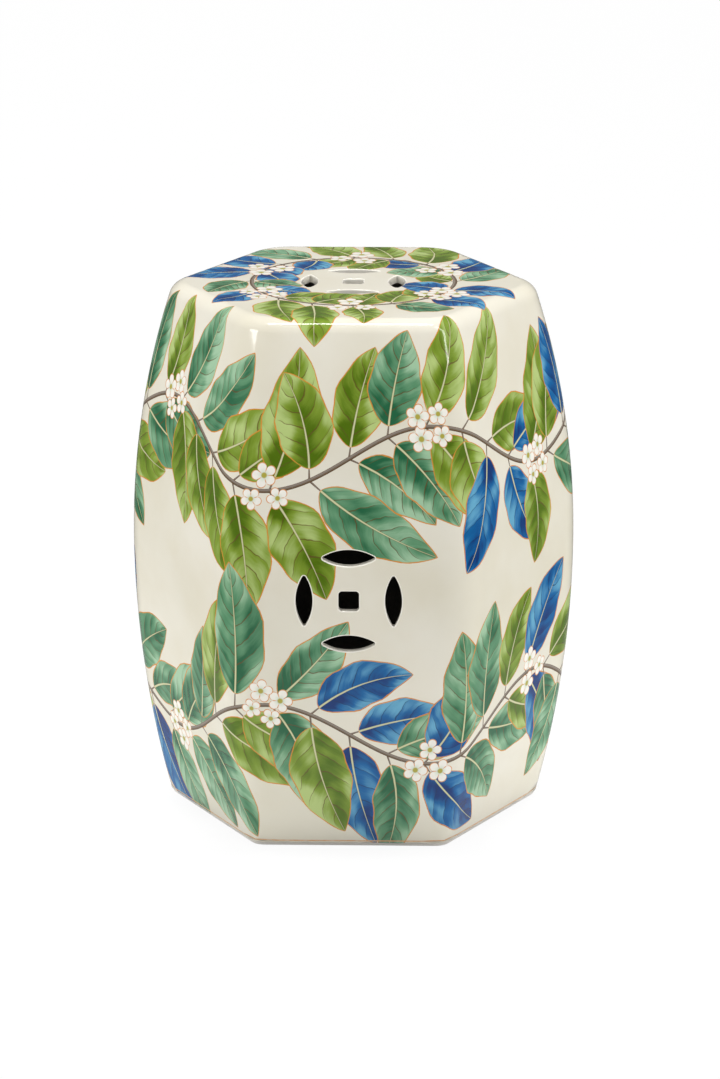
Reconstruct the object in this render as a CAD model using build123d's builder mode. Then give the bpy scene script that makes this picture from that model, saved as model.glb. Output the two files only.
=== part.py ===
"""Hexagonal garden stool of glazed ceramic, slab built and open underneath.

Six curved wall slabs are mitred at the corners, stood on a foot ring and closed by a pressed seat slab.
Rolls of clay strengthen the joints inside. The front wall, the back wall and the seat are pierced with
a coin: four petals round a square, which also serve as hand holds.

Sizes are in millimetres. +Z is up, the front wall faces -Y, and the origin is under the middle of the foot.
"""
import os
from math import cos, radians, sin, sqrt

from build123d import *

# Outline
seat_height = 457.0
belly_across_flats = 339.0
belly_height = 235.0
foot_draw_in = 30.8  # how far each wall comes in from the belly down to the foot
top_draw_in = 31.5  # and from the belly up to the plane of the seat
corner_radius = 45.0  # from the belly up; below it the corners tighten towards the foot
shoulder_radius = 15.0

# Wall and seat slabs
wall_thickness = 9.0
seat_thickness = 10.0
seat_rim_depth = 17.0  # from the plane of the seat down to its joint with the walls
wall_foot_chamfer = 1.2

# Foot ring, with a bare rim under the walls and an upstand inside them
foot_rim_height = 3.0
foot_rim_inset = 0.8
foot_rim_chamfer = 0.8
foot_upstand_height = 14.0
foot_upstand_thickness = 9.0

# Clay coils pressed into the inner joints
corner_coil_leg = 14.0
shoulder_coil_leg = 12.0

# Coin piercing
coin_height = 226.0
petal_circle_radius = 37.0  # from the middle of the coin to the middle of a petal
petal_length = 46.0
petal_width = 14.0
petal_tip_radius = 1.5
coin_square = 17.0
coin_square_radius = 3.0
coin_lip_chamfer = 1.5

# Which way each wall faces, in degrees anticlockwise from +X
wall_angle = {
    "front": -90,
    "front_right": -30,
    "back_right": 30,
    "back": 90,
    "back_left": 150,
    "front_left": 210,
}
# Where each corner stands
corner_angle = {
    "front_right": -60,
    "right": 0,
    "back_right": 60,
    "back_left": 120,
    "left": 180,
    "front_left": 240,
}
half_sector_angle = 30


def arc_radius(rise, run):
    """Radius of an arc that starts upright and comes in by run over its rise."""
    return (rise**2 + run**2) / (2 * run)


lower_radius = arc_radius(belly_height, foot_draw_in)
upper_radius = arc_radius(seat_height - belly_height, top_draw_in)
joint_height = seat_height - seat_rim_depth
ceiling_height = seat_height - seat_thickness
coil_joint_height = ceiling_height - shoulder_coil_leg  # where the corner coils meet the shoulder coil
# Below the belly the middles of the corners stand upright, on a hexagon with sides as long as its radius
corner_middle_reach = (belly_across_flats / 2 - corner_radius) / cos(radians(half_sector_angle))


def half_width(height, inset=0.0):
    """Half the width across flats at a height, on the outer surface or inset from it."""
    radius = upper_radius if height > belly_height else lower_radius
    return belly_across_flats / 2 - radius + sqrt((radius - inset) ** 2 - (height - belly_height) ** 2)


def lower_corner_radius(height, inset=0.0):
    """Radius of the corners at a height below the belly."""
    return corner_radius + half_width(height, inset) - half_width(belly_height)


def upright_plane(angle, start=(0, 0, 0)):
    """Upright plane that runs out from a point at an angle, with its own y up and its normal clockwise."""
    outward = (cos(radians(angle)), sin(radians(angle)), 0)
    clockwise = (sin(radians(angle)), -cos(radians(angle)), 0)
    return Plane(start, x_dir=outward, z_dir=clockwise)


def barrel(inset, low, high):
    """Sharp hexagonal barrel between two heights, inset all round from the outer surface."""
    foot = (half_width(0, inset), 0)
    belly = (half_width(belly_height, inset), belly_height)
    top = (half_width(seat_height, inset), seat_height)
    with BuildPart() as solid:
        for angle in list(wall_angle.values())[:3]:
            with BuildSketch(upright_plane(angle)):
                with BuildLine():
                    TangentArc(belly, foot, tangent=(0, -1))
                    TangentArc(belly, top, tangent=(0, 1))
                    Line(foot, (0, 0))
                    Line(top, (0, seat_height))
                    mirror(about=Plane.YZ)
                make_face()
                with Locations((0, (low + high) / 2)):
                    Rectangle(2 * belly_across_flats, high - low, mode=Mode.INTERSECT)
            mode = Mode.INTERSECT if solid.part else Mode.ADD
            extrude(amount=belly_across_flats, both=True, mode=mode)
    return solid.part


def lower_flank(plane):
    """Section of the outer form below the belly, from the middle of a corner outwards."""
    belly = (corner_radius, belly_height)
    lower_edge = (lower_corner_radius(foot_rim_height), foot_rim_height)
    with BuildSketch(plane) as flank:
        with BuildLine():
            TangentArc(belly, lower_edge, tangent=(0, -1))
            Polyline(lower_edge, (0, foot_rim_height), (0, belly_height), belly)
        make_face()
        chamfer(flank.vertices().group_by(Axis.Y)[0].sort_by(Axis.X)[-1], wall_foot_chamfer)
    return flank.sketch


def upright_edges(solid):
    """The edges that run up the corners of a barrel."""
    return solid.edges().filter_by(lambda edge: abs(edge.tangent_at(0.5).Z) > cos(radians(45)))


def coin(plane):
    """The coin's openings on a plane: four petals round a square."""
    with BuildSketch() as petal:
        with BuildLine():
            ThreePointArc((0, -petal_length / 2), (petal_width / 2, 0), (0, petal_length / 2))
            mirror(about=Plane.YZ)
        make_face()
        fillet(petal.vertices(), petal_tip_radius)
    with BuildSketch(plane) as openings:
        RectangleRounded(coin_square, coin_square, coin_square_radius)
        with PolarLocations(petal_circle_radius, 4):
            add(petal.sketch)
    return openings.sketch


os.makedirs("parts", exist_ok=True)

# The stool's outer form: rounded corners and shoulder above the belly, straight flanks and turned corners below
with BuildPart() as outer_form:
    add(barrel(0, belly_height, seat_height))
    fillet(upright_edges(outer_form), corner_radius)
    fillet(outer_form.faces().sort_by(Axis.Z)[-1].edges(), shoulder_radius)
    with BuildSketch(Plane.XY.offset(foot_rim_height)):
        RegularPolygon(corner_middle_reach, 6)
    extrude(amount=belly_height - foot_rim_height)
    for angle in wall_angle.values():
        corner_middle = Vector(corner_middle_reach, 0, 0).rotate(Axis.Z, angle + half_sector_angle)
        flank = lower_flank(upright_plane(angle, corner_middle))
        extrude(flank, amount=corner_middle_reach)
        revolve(flank, axis=Axis(corner_middle, (0, 0, 1)), revolution_arc=2 * half_sector_angle)

# The clay shell that the slabs make together
with BuildPart() as shell:
    add(outer_form.part)
    add(barrel(wall_thickness, foot_rim_height, ceiling_height), mode=Mode.SUBTRACT)

# Wall slabs, mitred along the corners
for side, angle in wall_angle.items():
    with BuildPart() as wall:
        add(shell.part)
        split(bisect_by=Plane.XY.offset(joint_height), keep=Keep.BOTTOM)
        split(bisect_by=upright_plane(angle + half_sector_angle), keep=Keep.TOP)
        split(bisect_by=upright_plane(angle - half_sector_angle), keep=Keep.BOTTOM)
        if side in ("front", "back"):
            outward = sin(radians(angle))
            face_plane = Plane((0, 0, coin_height), x_dir=(-outward, 0, 0), z_dir=(0, outward, 0))
            extrude(coin(face_plane), amount=belly_across_flats, mode=Mode.SUBTRACT)
            lip = wall.edges(Select.LAST).filter_by(
                lambda edge: abs(abs(edge.center().Y) - half_width(edge.center().Z)) < wall_thickness / 3
            )
            chamfer(lip, coin_lip_chamfer)
    wall.part.label = f"wall_{side}"
    export_step(wall.part, f"parts/{wall.part.label}.step")

# Seat slab with its turned-down rim
with BuildPart() as seat:
    add(shell.part)
    split(bisect_by=Plane.XY.offset(joint_height), keep=Keep.TOP)
    extrude(coin(Plane.XY.offset(joint_height)), amount=2 * seat_rim_depth, mode=Mode.SUBTRACT)
    chamfer(seat.edges(Select.LAST).group_by(Axis.Z)[-1], coin_lip_chamfer)
seat.part.label = "seat"
export_step(seat.part, "parts/seat.step")

# Foot ring
with BuildPart() as foot_ring:
    with BuildSketch() as rim:
        RegularPolygon(half_width(0, foot_rim_inset), 6, major_radius=False)
        fillet(rim.vertices(), lower_corner_radius(0, foot_rim_inset))
    extrude(amount=foot_rim_height)
    chamfer(foot_ring.faces().sort_by(Axis.Z)[0].edges(), foot_rim_chamfer)
    add(barrel(wall_thickness, foot_rim_height, foot_upstand_height))
    add(
        barrel(wall_thickness + foot_upstand_thickness, 0, foot_upstand_height),
        mode=Mode.SUBTRACT,
    )
foot_ring.part.label = "foot_ring"
export_step(foot_ring.part, "parts/foot_ring.step")

# Coil under the seat joint, a bevelled ring against the ceiling and the walls
with BuildPart() as shoulder_coil:
    add(barrel(wall_thickness, coil_joint_height, ceiling_height))
    with BuildSketch(Plane.XY.offset(coil_joint_height)):
        RegularPolygon(half_width(coil_joint_height, wall_thickness), 6, major_radius=False)
    with BuildSketch(Plane.XY.offset(ceiling_height)):
        RegularPolygon(half_width(ceiling_height, wall_thickness) - shoulder_coil_leg, 6, major_radius=False)
    loft(mode=Mode.SUBTRACT)
shoulder_coil.part.label = "shoulder_coil"
export_step(shoulder_coil.part, "parts/shoulder_coil.step")

# Coils up the inner corners, from the foot ring to the coil under the seat
with BuildPart() as bevelled_hollow:
    add(barrel(wall_thickness, foot_upstand_height, coil_joint_height))
    chamfer(upright_edges(bevelled_hollow), corner_coil_leg)
for corner, angle in corner_angle.items():
    with BuildPart() as corner_coil:
        add(barrel(wall_thickness, foot_upstand_height, coil_joint_height))
        add(bevelled_hollow.part, mode=Mode.SUBTRACT)
        split(bisect_by=upright_plane(angle + half_sector_angle), keep=Keep.TOP)
        split(bisect_by=upright_plane(angle - half_sector_angle), keep=Keep.BOTTOM)
    corner_coil.part.label = f"corner_coil_{corner}"
    export_step(corner_coil.part, f"parts/{corner_coil.part.label}.step")
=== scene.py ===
"""Looks of a hexagonal ceramic garden stool: glazed walls and seat with a painted vine scroll, and bare clay.

The painting is inlaid in the glazed skin: every leaf, twig and blossom is a patch of the piece's own mesh,
with brush values at its corners that its finish draws by. The walls are unrolled to one chart in millimetres,
with the girth to the right and the run up the wall, and the seat has a chart of its own, seen from above.
"""
import math
import random
from collections import namedtuple

import bpy
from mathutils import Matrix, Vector
from mathutils.geometry import delaunay_2d_cdt


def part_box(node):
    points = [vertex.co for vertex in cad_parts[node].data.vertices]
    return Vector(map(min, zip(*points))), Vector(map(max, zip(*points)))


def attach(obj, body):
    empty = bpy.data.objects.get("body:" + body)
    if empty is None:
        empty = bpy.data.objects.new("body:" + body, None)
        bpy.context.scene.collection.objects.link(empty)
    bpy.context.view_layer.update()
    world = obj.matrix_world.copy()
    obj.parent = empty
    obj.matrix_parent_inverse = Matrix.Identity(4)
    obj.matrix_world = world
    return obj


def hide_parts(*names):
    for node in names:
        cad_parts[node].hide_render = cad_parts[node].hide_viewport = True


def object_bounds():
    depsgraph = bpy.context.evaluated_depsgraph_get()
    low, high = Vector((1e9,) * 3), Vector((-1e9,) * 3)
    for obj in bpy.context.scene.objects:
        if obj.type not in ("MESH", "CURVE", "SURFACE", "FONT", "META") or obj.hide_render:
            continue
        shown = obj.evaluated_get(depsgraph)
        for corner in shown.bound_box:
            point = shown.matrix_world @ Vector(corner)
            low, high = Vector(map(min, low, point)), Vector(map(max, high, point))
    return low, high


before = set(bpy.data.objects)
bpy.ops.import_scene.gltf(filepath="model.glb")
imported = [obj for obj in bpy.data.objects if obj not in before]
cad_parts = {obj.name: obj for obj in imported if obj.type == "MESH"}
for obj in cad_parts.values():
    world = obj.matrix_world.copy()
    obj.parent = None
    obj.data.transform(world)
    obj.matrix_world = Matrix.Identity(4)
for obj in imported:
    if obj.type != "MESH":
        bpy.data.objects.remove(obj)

bl_info = {
    "name": "Glazed garden stool",
    "version": (1, 0, 0),
    "blender": (4, 5, 0),
    "location": "3D View > Sidebar > Stool",
    "description": "Glazes and paints the walls and the seat of a slab-built garden stool",
    "category": "Add Mesh",
}

MM = 0.001  # a millimetre, in metres
CAD_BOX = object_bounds()
SIDES = ("front", "front_right", "back_right", "back", "back_left", "front_left")
PIERCED = ("front", "back")
SECTOR = math.tau / len(SIDES)
HALF_SECTOR = SECTOR / 2
HALF_SIDE = math.tan(HALF_SECTOR)  # half the length of a hexagon's side, for a half width of one
QUARTER = math.pi / 2
FRONT = -QUARTER
UP = Vector((0, 0, 1))
BARE_NODES = [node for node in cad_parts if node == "foot_ring" or "coil" in node]


def shade(red, green, blue):
    """Linear colour of an 8-bit sRGB shade."""
    levels = (red / 255, green / 255, blue / 255)
    linear = [c / 12.92 if c <= 0.04045 else ((c + 0.055) / 1.055) ** 2.4 for c in levels]
    return (*linear, 1.0)


def size_property(name, description, default):
    """A length that a user can change, in metres."""
    return bpy.props.FloatProperty(
        name=name, description=description, default=default, min=0.0, unit="LENGTH"
    )


def colour_property(name, description, *levels):
    """A colour that a user can change, given as an sRGB shade."""
    return bpy.props.FloatVectorProperty(
        name=name, description=description, default=shade(*levels), size=4, min=0.0, max=1.0, subtype="COLOR"
    )


class StoolForm(bpy.types.PropertyGroup):
    """Sizes of the glazed skin that the frame's boxes don't give."""

    belly_height: size_property("Belly height", "Height of the widest part", 0.235)
    foot_draw_in: size_property("Foot draw in", "How far a wall comes in from the belly to the floor", 0.0308)
    top_draw_in: size_property("Top draw in", "How far a wall comes in from the belly to the seat", 0.0315)
    corner_radius: size_property("Corner radius", "Rounding of the corners from the belly up", 0.045)
    shoulder_radius: size_property("Shoulder radius", "Rounding between the walls and the seat", 0.015)
    foot_radius: size_property("Foot radius", "Rounding of the glaze at the lower edge", 0.0012)
    wall_thickness: size_property("Wall thickness", "Thickness of the clay walls", 0.009)
    lip_radius: size_property("Lip radius", "Rounding of the glaze at the edges of the piercings", 0.001)
    coin_height: size_property("Coin height", "Height of the middle of a wall's coin", 0.226)
    petal_circle: size_property("Petal circle", "From the middle of a coin to the middle of a petal", 0.037)
    petal_length: size_property("Petal length", "Length of a petal-shaped opening", 0.046)
    petal_width: size_property("Petal width", "Width of a petal-shaped opening", 0.014)
    petal_tip: size_property("Petal tip", "Rounding of a petal's tips", 0.0015)
    coin_square: size_property("Coin square", "Side of the square opening", 0.017)
    square_corner: size_property("Square corner", "Rounding of the square's corners", 0.003)


class StoolPainting(bpy.types.PropertyGroup):
    """Sizes and counts of the painted scroll."""

    seed: bpy.props.IntProperty(name="Seed", description="Start of the painting's chance choices", default=7)
    waves: bpy.props.IntProperty(name="Waves", description="Waves of a vine round the stool", default=4)
    upper_vine: size_property("Upper vine", "Run up the wall to the upper vine", 0.345)
    lower_vine: size_property("Lower vine", "Run up the wall to the lower vine", 0.105)
    vine_swing: size_property("Vine swing", "How far a vine swings up and down", 0.027)
    seat_vine: size_property("Seat vine", "Radius of the vine on the seat", 0.086)
    leaf_step: size_property("Leaf step", "Length of vine between pairs of leaves", 0.0335)
    leaf_length: size_property("Leaf length", "Length of a middling leaf on the walls", 0.112)
    seat_leaf_length: size_property("Seat leaf length", "Length of a middling leaf on the seat", 0.066)
    leaf_width: size_property("Leaf width", "Width of a middling leaf on the walls", 0.049)
    blossom_radius: size_property("Blossom radius", "Radius of a middling blossom", 0.0105)
    vine_width: size_property("Vine width", "Width of a vine's stroke", 0.0036)
    line_width: size_property("Line width", "Width of the line round the foot", 0.0012)


class StoolColours(bpy.types.PropertyGroup):
    """Colours of the glaze, the painting and the bare clay."""

    ivory: colour_property("Ivory", "Ground glaze", 228, 223, 206)
    green_deep: colour_property("Deep green", "Darkest wash of the green leaves", 80, 110, 10)
    green_mid: colour_property("Green", "Middle wash of the green leaves", 127, 153, 50)
    green_pale: colour_property("Pale green", "Lightest wash of the green leaves", 184, 204, 128)
    teal_deep: colour_property("Deep teal", "Darkest wash of the teal leaves", 36, 100, 66)
    teal_mid: colour_property("Teal", "Middle wash of the teal leaves", 95, 148, 110)
    teal_pale: colour_property("Pale teal", "Lightest wash of the teal leaves", 164, 201, 166)
    blue_deep: colour_property("Deep blue", "Darkest wash of the blue leaves", 0, 50, 114)
    blue_mid: colour_property("Blue", "Middle wash of the blue leaves", 4, 98, 160)
    blue_pale: colour_property("Pale blue", "Lightest wash of the blue leaves", 104, 172, 204)
    vein_brown: colour_property("Brown vein", "Fine side veins of green and teal leaves", 98, 68, 38)
    vein_navy: colour_property("Navy vein", "Fine side veins of blue leaves", 14, 48, 92)
    rib_cream: colour_property("Cream rib", "Midribs", 214, 214, 168)
    outline_gold: colour_property("Gold outline", "Outlines and the line round the foot", 216, 140, 54)
    # the lips' white is partly the glaze's own paler edge, partly painted light brightening the linings in
    # the openings' shade
    lip_white: colour_property("Lip white", "Glaze on the lips and linings of the piercings", 248, 244, 233)
    blossom_white: colour_property("Blossom white", "Petals of the blossoms", 247, 243, 234)
    blossom_heart: colour_property("Blossom heart", "Hearts of the blossoms", 176, 168, 74)
    twig_brown: colour_property("Twig brown", "Vines and stalks", 92, 78, 60)
    bare_clay: colour_property("Bare clay", "Unglazed clay of the foot", 234, 231, 222)
    bare_clay_dark: colour_property("Dark bare clay", "Grains and streaks of the foot's clay", 203, 198, 190)
    # the inside's clay is painted dark: painted shade of the hollow inside the stool, with real grains and
    # streaks over it
    inner_clay: colour_property("Inner clay", "Clay on the inside of the walls", 96, 90, 82)
    painted_shade_clay_dark: colour_property("Dark inner clay", "Grains and streaks of the inner clay", 63, 60, 56)


def clamp(value, low=0.0, high=1.0):
    """A value kept between two bounds."""
    return max(low, min(high, value))


def wall_facing(sector):
    """Angle that the wall of a sector faces."""
    return FRONT + sector * SECTOR


def compass(angle):
    """Direction outwards at an angle, and the direction to the right as seen from outside."""
    out = Vector((math.cos(angle), math.sin(angle), 0))
    return out, Vector((-out.y, out.x, 0))


def turned_about(point, angle):
    """A point of the plane turned about the origin."""
    return (
        point[0] * math.cos(angle) - point[1] * math.sin(angle),
        point[0] * math.sin(angle) + point[1] * math.cos(angle),
    )


def moved(point, direction, way):
    """A point of the plane moved some way in a direction."""
    return point[0] + way * direction[0], point[1] + way * direction[1]


def nearest_part(start, stop, point):
    """Share of a straight stretch that is nearest to a point, and the point's distance from it."""
    dx, dy = stop[0] - start[0], stop[1] - start[1]
    square = dx * dx + dy * dy or 1.0
    part = clamp(((point[0] - start[0]) * dx + (point[1] - start[1]) * dy) / square)
    return part, math.hypot(start[0] + part * dx - point[0], start[1] + part * dy - point[1])


def arc_points(centre, radius, start, stop, count):
    """Points of an arc and the directions that they face."""
    for step in range(count + 1):
        angle = start + (stop - start) * step / count
        direction = (math.cos(angle), math.sin(angle))
        yield moved(centre, direction, radius), direction


class Surface:
    """The glazed outer skin in millimetres, by sector, share of the half side and run.

    The share goes from -1 to 1 across a side. The run is measured along the middle of a wall: up from its
    lower edge, over the shoulder and in to the middle of the seat. A level section of the skin is a hexagonal
    core, given by its half width, with the rounding of the corners all round it.
    """

    TANGENT_ROUNDS = 6  # of the search for a tangent, which settles fast

    def __init__(self, form):
        highest = CAD_BOX[1]
        self.half_width = highest.y / MM
        self.top = highest.z / MM
        self.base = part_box("wall_front")[0].z / MM
        self.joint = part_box("seat")[0].z / MM
        self.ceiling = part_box("shoulder_coil")[1].z / MM
        self.belly = form.belly_height / MM
        self.corner = form.corner_radius / MM
        self.shoulder = form.shoulder_radius / MM
        self.edge = form.foot_radius / MM
        self.thickness = form.wall_thickness / MM
        self.lower = self.arc_radius(self.belly, form.foot_draw_in / MM)
        self.upper = self.arc_radius(self.top - self.belly, form.top_draw_in / MM)
        # elevations of the skin's normal where the walls meet their roundings
        self.edge_start = self.tangent_elevation(1.0, self.base + self.edge)
        self.shoulder_start = self.tangent_elevation(1.0, self.top - self.shoulder)
        self.lowest_run = -self.edge * (QUARTER + self.edge_start)
        self.belly_run = -self.lower * self.edge_start
        self.shoulder_run = self.belly_run + self.upper * self.shoulder_start
        self.flat_run = self.shoulder_run + self.shoulder * (QUARTER - self.shoulder_start)
        shoulder_height = self.top - self.shoulder + self.shoulder * math.sin(self.shoulder_start)
        shoulder_apothem = self.section(shoulder_height)[0]
        self.flat_apothem = shoulder_apothem - self.shoulder * math.cos(self.shoulder_start)
        self.flat_corner = self.corner - self.shoulder * math.cos(self.shoulder_start)
        self.full_run = self.flat_run + self.flat_apothem
        self.joint_run = self.run_at(self.joint)
        self.side = 2 * self.half_length(self.belly_run)
        self.girth = self.side * len(SIDES)

    @staticmethod
    def arc_radius(rise, draw_in):
        """Radius of an arc that starts upright and comes in over its rise."""
        return (rise**2 + draw_in**2) / (2 * draw_in)

    def section(self, height, inset=0.0):
        """Half width of the walls at a height, and how it changes with height."""
        radius = self.upper if height > self.belly else self.lower
        rise = height - self.belly
        reach = math.sqrt((radius - inset) ** 2 - rise**2)
        return self.half_width - radius + reach, -rise / reach

    def tangent_elevation(self, spread, centre):
        """Elevation of the normal where a wall, spread by a corner, meets a rounding centred at a height."""
        radius = self.shoulder if centre > self.belly else self.edge
        elevation = 0.0
        for _ in range(self.TANGENT_ROUNDS):
            elevation = math.atan(-spread * self.section(centre + radius * math.sin(elevation))[1])
        return elevation

    def run_at(self, height):
        """Run up the middle of a wall to a height between its roundings."""
        radius = self.upper if height > self.belly else self.lower
        return self.belly_run + radius * math.asin((height - self.belly) / radius)

    def wall_height(self, run):
        """Height at a run between the roundings."""
        radius = self.upper if run > self.belly_run else self.lower
        return self.belly + radius * math.sin((run - self.belly_run) / radius)

    def corner_at(self, height):
        """Rounding of the corners at a height, steady from the belly up and tighter towards the foot."""
        if height > self.belly:
            return self.corner
        return self.corner + self.section(height)[0] - self.half_width

    def core_at(self, height):
        """Half width of the hexagon on which the middles of the corners stand, and the corners' rounding."""
        corner = self.corner_at(height)
        return self.section(height)[0] - corner, corner

    def half_length(self, run):
        """Half the length across one side of a wall, round the halves of its corners."""
        core, corner = self.core_at(self.wall_height(run))
        return core * HALF_SIDE + corner * HALF_SECTOR

    def rounding(self, run):
        """Rounding that a run lies in: height of its centre, radius, share of its turn, end elevation."""
        if run < 0:
            return self.base + self.edge, self.edge, run / self.lowest_run, -QUARTER
        turn = (run - self.shoulder_run) / (self.flat_run - self.shoulder_run)
        return self.top - self.shoulder, self.shoulder, turn, QUARTER

    def level(self, run):
        """Core and corner rounding of the level section at a run in the middle of a wall."""
        if run >= self.flat_run:
            apothem = self.full_run - run
            corner = max(0.0, self.flat_corner - (self.flat_apothem - apothem))
            return apothem - corner, corner
        if 0 <= run <= self.shoulder_run:
            return self.core_at(self.wall_height(run))
        centre, radius, turn, end = self.rounding(run)
        start = self.tangent_elevation(1.0, centre)
        elevation = start + turn * (end - start)
        core, corner = self.core_at(centre + radius * math.sin(start))
        return core, corner - radius * (math.cos(start) - math.cos(elevation))

    def profile(self, run, spread):
        """Core, reach, height and normal (out, up) at a run, where a corner spreads the section."""
        if run >= self.flat_run:
            core, corner = self.level(run)
            return core, core * spread + corner, self.top, (0.0, 1.0)
        if 0 <= run <= self.shoulder_run:
            height = self.wall_height(run)
            if run > self.joint_run:
                # the shoulder starts higher at a corner, and the rim under it is stretched to meet it
                start = self.tangent_elevation(spread, self.top - self.shoulder)
                lift = math.sin(start) - math.sin(self.shoulder_start)
                height += self.shoulder * lift * (run - self.joint_run) / (self.shoulder_run - self.joint_run)
            core, corner = self.core_at(height)
            slope = self.section(height)[1] * (spread if height > self.belly else 1.0)
            length = math.hypot(1.0, slope)
            return core, core * spread + corner, height, (1.0 / length, -slope / length)
        centre, radius, turn, end = self.rounding(run)
        start = self.tangent_elevation(spread if run > 0 else 1.0, centre)
        elevation = start + turn * (end - start)
        core, corner = self.core_at(centre + radius * math.sin(start))
        reach = core * spread + corner + radius * (math.cos(elevation) - math.cos(start))
        height = centre + radius * math.sin(elevation)
        return core, reach, height, (math.cos(elevation), math.sin(elevation))

    def place(self, sector, share, run):
        """Point on the skin and its normal."""
        side = math.copysign(1.0, share)
        core, corner = self.level(run)
        along = abs(share) * (core * HALF_SIDE + corner * HALF_SECTOR)
        turned = 0.0
        if corner > 0:
            turned = clamp((along - core * HALF_SIDE) / corner, 0.0, HALF_SECTOR)
        spread = math.cos(HALF_SECTOR - turned) / math.cos(HALF_SECTOR)
        swing = math.sin(HALF_SECTOR - turned) / math.cos(HALF_SECTOR)
        core, reach, height, (normal_out, normal_up) = self.profile(run, spread)
        across = side * (core * swing if turned > 0 else min(along, core * HALF_SIDE))
        out, right = compass(wall_facing(sector) + side * turned)
        return out * reach + right * across + UP * height, out * normal_out + UP * normal_up

    def inner(self, sector, share, height):
        """Point on the inner side of a wall, where the corners are sharp."""
        out, right = compass(wall_facing(sector))
        reach = self.section(height, self.thickness)[0]
        return out * reach + right * (share * reach * HALF_SIDE) + UP * height

    def seat_spot(self, girth, run):
        """Point of the seat's chart that a point of the walls' chart runs on to."""
        sector = round(girth / self.side)
        share = 2 * (girth / self.side - sector)
        depth = self.full_run - run
        return turned_about((depth, share * depth * HALF_SIDE), wall_facing(sector))

    def seat_share(self, x, y):
        """Sector, share and run of a point of the seat's chart."""
        sector = round((math.atan2(y, x) - FRONT) / SECTOR)
        depth, across = turned_about((x, y), -wall_facing(sector))
        share = across / (depth * HALF_SIDE) if depth > 0 else 0.0
        return sector % len(SIDES), clamp(share, -1.0), self.full_run - depth


class Piercing:
    """Outline of one opening, as points with the directions in which they face the clay round it."""

    ARC_STEPS = 18
    TIP_STEPS = 8
    QUARTERS = 4

    def __init__(self, outline, lip):
        self.outline, self.lip = outline, lip
        self.brim = [moved(p, n, lip) for p, n in outline]

    @staticmethod
    def turned(outline, angle):
        """An outline and its directions turned about the origin."""
        return [(turned_about(p, angle), turned_about(n, angle)) for p, n in outline]

    @classmethod
    def square(cls, half, corner):
        """Outline of a square opening with rounded corners."""
        reach = half - corner
        outline = []
        for quarter in range(cls.QUARTERS):
            start = quarter * QUARTER
            middle = turned_about((reach, reach), start)
            outline += arc_points(middle, corner, start, start + QUARTER, cls.TIP_STEPS)
        return outline

    @classmethod
    def petal(cls, half_length, half_width, tip):
        """Outline of an upright petal-shaped opening with rounded tips."""
        radius = (half_length**2 + half_width**2) / (2 * half_width)
        offset = radius - half_width
        tip_height = math.sqrt((radius - tip) ** 2 - offset**2)
        edge = math.atan2(tip_height, offset)
        half = list(arc_points((-offset, 0), radius, -edge, edge, cls.ARC_STEPS))[1:-1]
        half += arc_points((0, tip_height), tip, edge, math.pi - edge, cls.TIP_STEPS)
        return half + cls.turned(half, math.pi)

    @classmethod
    def coin(cls, form):
        """The five openings of a coin round the origin: a square and four petals."""
        outlines = [cls.square(form.coin_square / MM / 2, form.square_corner / MM)]
        petal = cls.petal(form.petal_length / MM / 2, form.petal_width / MM / 2, form.petal_tip / MM)
        first = [(moved(p, (1, 0), form.petal_circle / MM), n) for p, n in petal]
        outlines += [cls.turned(first, quarter * QUARTER) for quarter in range(cls.QUARTERS)]
        return [cls(outline, form.lip_radius / MM) for outline in outlines]

    def foot_of(self, point):
        """How far a point is from the brim, and the outline's spot and direction that belong to it."""
        count = len(self.brim)
        best = (math.inf, 0, 0.0)
        for index, start in enumerate(self.brim):
            part, distance = nearest_part(start, self.brim[(index + 1) % count], point)
            if distance < best[0]:
                best = (distance, index, part)
        distance, index, part = best
        (p, n), (q, m) = self.outline[index], self.outline[(index + 1) % count]
        spot = moved(p, (q[0] - p[0], q[1] - p[1]), part)
        between = moved(n, (m[0] - n[0], m[1] - n[1]), part)
        length = math.hypot(*between)
        return distance, spot, (between[0] / length, between[1] / length)


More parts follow.
